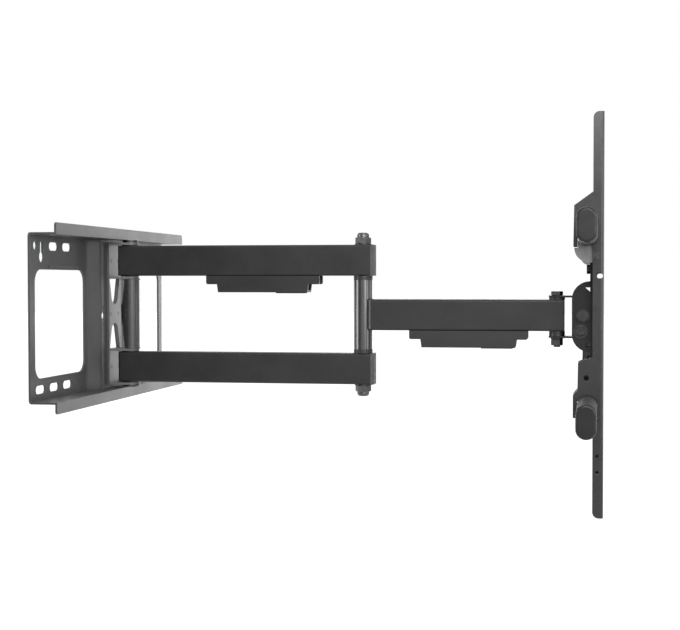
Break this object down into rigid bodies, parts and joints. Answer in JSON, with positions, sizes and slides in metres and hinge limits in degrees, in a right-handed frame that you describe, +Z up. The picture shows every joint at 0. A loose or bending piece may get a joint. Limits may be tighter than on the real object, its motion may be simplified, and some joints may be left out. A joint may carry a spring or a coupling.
{
  "type": "full motion television wall mount",
  "caption": "Wall mount with a slotted wall plate, two folding arms, a tilting head and two upright brackets on horizontal rails for a television.",
  "frame": {"origin": "centre of the wall plate's slot pattern, in the plane of the wall", "axes": "+X away from the wall towards the television, +Y along the wall, +Z up"},
  "size_m": [0.66, 0.644, 0.449],
  "materials": {
    "arm_coat": "black powder coat, fine texture",
    "plate_coat": "black powder coat, fine texture",
    "bracket_coat": "dark grey powder coat, satin",
    "tube_coat": "black satin enamel",
    "black_zinc": "black zinc plate",
    "zinc": "bright zinc plate",
    "latch_grey": "satin grey moulding",
    "plastic": "fine textured black moulding",
    "spring_steel": "drawn wire"
  },
  "bodies": {
    "wall_unit": {"wall_plate": "plate_coat", "pivot_bracket": "arm_coat", "pivot_bracket_screws": "black_zinc", "wall_tube": "tube_coat", "wall_pin": "black_zinc", "wall_pin_washer": "black_zinc", "wall_pin_ring": "black_zinc"},
    "first_arm": {"upper_beam": "arm_coat", "lower_beam": "arm_coat", "wall_end_caps": "plastic", "elbow_end_caps": "plastic", "wall_bushes": "plastic", "elbow_spacers": "zinc", "elbow_bolt": "zinc", "elbow_washers": "black_zinc", "elbow_cap_nuts": "black_zinc", "first_clip_base": "plastic", "first_cable_cover": "plastic", "first_clip_screws": "zinc"},
    "second_arm": {"elbow_tube": "tube_coat", "elbow_collars": "plastic", "second_beam": "arm_coat", "second_end_cap": "plastic", "head_bushes": "plastic", "second_clip_base": "plastic", "second_cable_cover": "plastic", "second_clip_screws": "zinc"},
    "swivel_head": {"swivel_yoke": "arm_coat", "head_bolt": "black_zinc", "head_thrust_washer": "black_zinc", "head_washer": "black_zinc", "head_nut": "black_zinc", "tilt_bolt": "black_zinc", "tilt_washers": "black_zinc", "tilt_nut": "black_zinc", "friction_pads": "plastic", "guide_bolt": "black_zinc", "guide_washers": "black_zinc", "guide_nut": "black_zinc"},
    "tilt_head": {"tilt_bracket": "arm_coat", "level_pivot": "black_zinc", "level_screws": "black_zinc", "level_nuts": "black_zinc"},
    "tv_frame": {"centre_plate": "arm_coat", "upper_rail": "arm_coat", "lower_rail": "arm_coat", "rail_end_caps": "plastic", "rail_bolts": "zinc"},
    "left_bracket": {"left_tv_bracket": "bracket_coat", "left_latch_pin": "black_zinc", "left_latch_spring": "spring_steel"},
    "left_latch_body": {"left_latch": "latch_grey"},
    "right_bracket": {"right_tv_bracket": "bracket_coat", "right_latch_pin": "black_zinc", "right_latch_spring": "spring_steel"},
    "right_latch_body": {"right_latch": "latch_grey"}
  },
  "joints": [
    {"name": "wall_swivel", "type": "hinge", "parent": "wall_unit", "child": "first_arm", "pos_m": [0.039, 0, 0], "axis": [0, 0, 1], "range_deg": [-90, 90]},
    {"name": "elbow_swivel", "type": "hinge", "parent": "first_arm", "child": "second_arm", "pos_m": [0.353, 0, 0], "axis": [0, 0, -1], "range_deg": [-95, 95]},
    {"name": "head_swivel", "type": "hinge", "parent": "second_arm", "child": "swivel_head", "pos_m": [0.602, 0, 0], "axis": [0, 0, 1], "range_deg": [-80, 80]},
    {"name": "tilt", "type": "hinge", "parent": "swivel_head", "child": "tilt_head", "pos_m": [0.635, 0, 0], "axis": [0, 1, 0], "range_deg": [-5, 15]},
    {"name": "level", "type": "hinge", "parent": "tilt_head", "child": "tv_frame", "pos_m": [0.648, 0, 0], "axis": [1, 0, 0], "range_deg": [-3, 3]},
    {"name": "left_bracket_slide", "type": "slide", "parent": "tv_frame", "child": "left_bracket", "axis": [0, 1, 0], "range_m": [-0.1, 0.1]},
    {"name": "right_bracket_slide", "type": "slide", "parent": "tv_frame", "child": "right_bracket", "axis": [0, 1, 0], "range_m": [-0.1, 0.1]},
    {"name": "left_latch_swing", "type": "hinge", "parent": "left_bracket", "child": "left_latch_body", "pos_m": [0.652, -0.2, 0.0715], "axis": [0, -1, 0], "range_deg": [0, 60], "stiffness_Nm_per_rad": 0.04, "springref_deg": -28.65},
    {"name": "right_latch_swing", "type": "hinge", "parent": "right_bracket", "child": "right_latch_body", "pos_m": [0.652, 0.2, 0.0715], "axis": [0, -1, 0], "range_deg": [0, 60], "stiffness_Nm_per_rad": 0.04, "springref_deg": -28.65}
  ]
}
